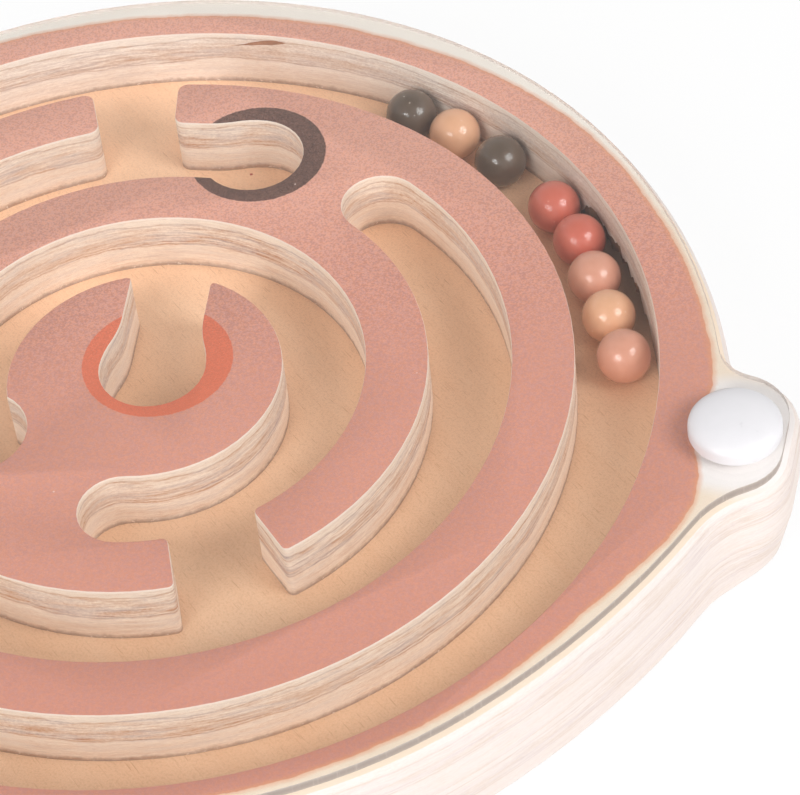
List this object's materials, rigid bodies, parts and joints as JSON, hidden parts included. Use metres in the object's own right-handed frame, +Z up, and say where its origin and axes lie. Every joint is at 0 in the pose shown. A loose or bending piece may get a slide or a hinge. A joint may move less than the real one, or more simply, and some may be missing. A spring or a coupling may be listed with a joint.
{
  "type": "magnetic ball maze",
  "caption": "Round plywood toy with a lug on each side, routed ball channels and pockets under a clear screwed-on cover, and loose coloured balls to be led through them.",
  "frame": {"origin": "middle of the underside, under the maze's centre", "axes": "+Z up out of the cover, +X from the maze's centre through the middle of one lug"},
  "size_m": [0.1882, 0.163, 0.0233],
  "materials": {
    "birch": "sanded birch plywood, clear matt lacquer",
    "pink_print": "routed birch plywood with a dusty pink print on its top face",
    "clear": "clear acrylic sheet, polished faces",
    "white_plastic": "white moulded plastic",
    "screw_steel": "plated steel",
    "dark_lacquer": "dark brown lacquer on a steel ball",
    "tan_lacquer": "tan lacquer on a steel ball",
    "red_lacquer": "brick red lacquer on a steel ball",
    "pink_lacquer": "dusty pink lacquer on a steel ball"
  },
  "bodies": {
    "board": {"base_plate": "birch", "outer_rim": "pink_print", "maze_core": "pink_print", "clear_cover": "clear", "screw_cap_right": "white_plastic", "screw_cap_left": "white_plastic", "cap_washer_right": "white_plastic", "cap_washer_left": "white_plastic", "cover_screw_right": "screw_steel", "cover_screw_left": "screw_steel"},
    "dark_1_ball": {"ball_dark_1": "dark_lacquer"},
    "tan_1_ball": {"ball_tan_1": "tan_lacquer"},
    "dark_2_ball": {"ball_dark_2": "dark_lacquer"},
    "red_1_ball": {"ball_red_1": "red_lacquer"},
    "red_2_ball": {"ball_red_2": "red_lacquer"},
    "pink_1_ball": {"ball_pink_1": "pink_lacquer"},
    "tan_2_ball": {"ball_tan_2": "tan_lacquer"},
    "pink_2_ball": {"ball_pink_2": "pink_lacquer"}
  },
  "joints": [
    {"name": "ball_dark_1_run", "type": "hinge", "parent": "board", "child": "dark_1_ball", "pos_m": [0, -0.0012, 0.0123], "axis": [0, 0, 1], "continuous": true},
    {"name": "ball_tan_1_run", "type": "hinge", "parent": "dark_1_ball", "child": "tan_1_ball", "pos_m": [0, -0.0012, 0.0123], "axis": [0, 0, 1], "range_deg": [-40, 0.2]},
    {"name": "ball_dark_2_run", "type": "hinge", "parent": "tan_1_ball", "child": "dark_2_ball", "pos_m": [0, -0.0012, 0.0123], "axis": [0, 0, 1], "range_deg": [-40, 1.3]},
    {"name": "ball_red_1_run", "type": "hinge", "parent": "dark_2_ball", "child": "red_1_ball", "pos_m": [0, -0.0012, 0.0123], "axis": [0, 0, 1], "range_deg": [-40, 4.4]},
    {"name": "ball_red_2_run", "type": "hinge", "parent": "red_1_ball", "child": "red_2_ball", "pos_m": [0, -0.0012, 0.0123], "axis": [0, 0, 1], "range_deg": [-40, 0.1]},
    {"name": "ball_pink_1_run", "type": "hinge", "parent": "red_2_ball", "child": "pink_1_ball", "pos_m": [0, -0.0012, 0.0123], "axis": [0, 0, 1], "range_deg": [-40, 0.1]},
    {"name": "ball_tan_2_run", "type": "hinge", "parent": "pink_1_ball", "child": "tan_2_ball", "pos_m": [0, -0.0012, 0.0123], "axis": [0, 0, 1], "range_deg": [-40, 0.2]},
    {"name": "ball_pink_2_run", "type": "hinge", "parent": "tan_2_ball", "child": "pink_2_ball", "pos_m": [0, -0.0012, 0.0123], "axis": [0, 0, 1], "range_deg": [-40, 0.2]}
  ]
}
